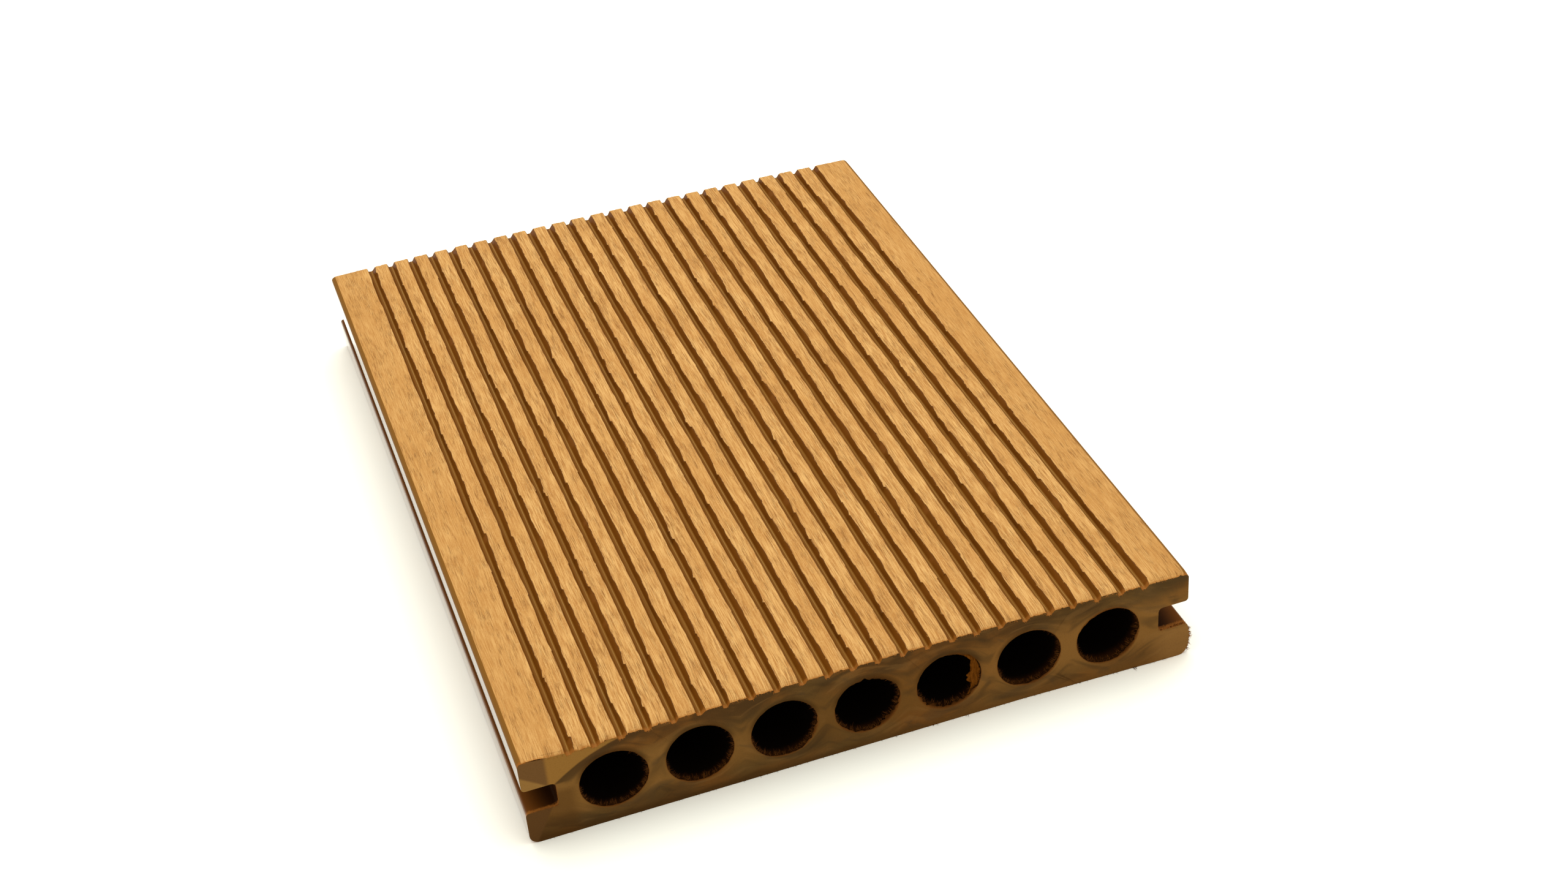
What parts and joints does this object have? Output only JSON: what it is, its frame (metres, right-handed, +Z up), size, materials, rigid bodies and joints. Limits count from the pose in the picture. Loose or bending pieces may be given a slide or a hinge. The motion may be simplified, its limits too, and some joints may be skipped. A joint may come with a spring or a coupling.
{
  "type": "decking board",
  "caption": "Short sawn length of hollow composite decking board with a grooved walking face, round bores from end to end and a clip slot in each long edge.",
  "frame": {"origin": "middle of the underside", "axes": "+X across the width, +Y along the length away from the near sawn end, +Z up through the thickness; the grooved walking face looks up"},
  "size_m": [0.146, 0.2, 0.0225],
  "materials": {
    "wood_composite": "brushed caramel-brown wood-plastic composite, glossier where it left the die, darker where sawn"
  },
  "bodies": {
    "root": {"board": "wood_composite"}
  },
  "joints": []
}
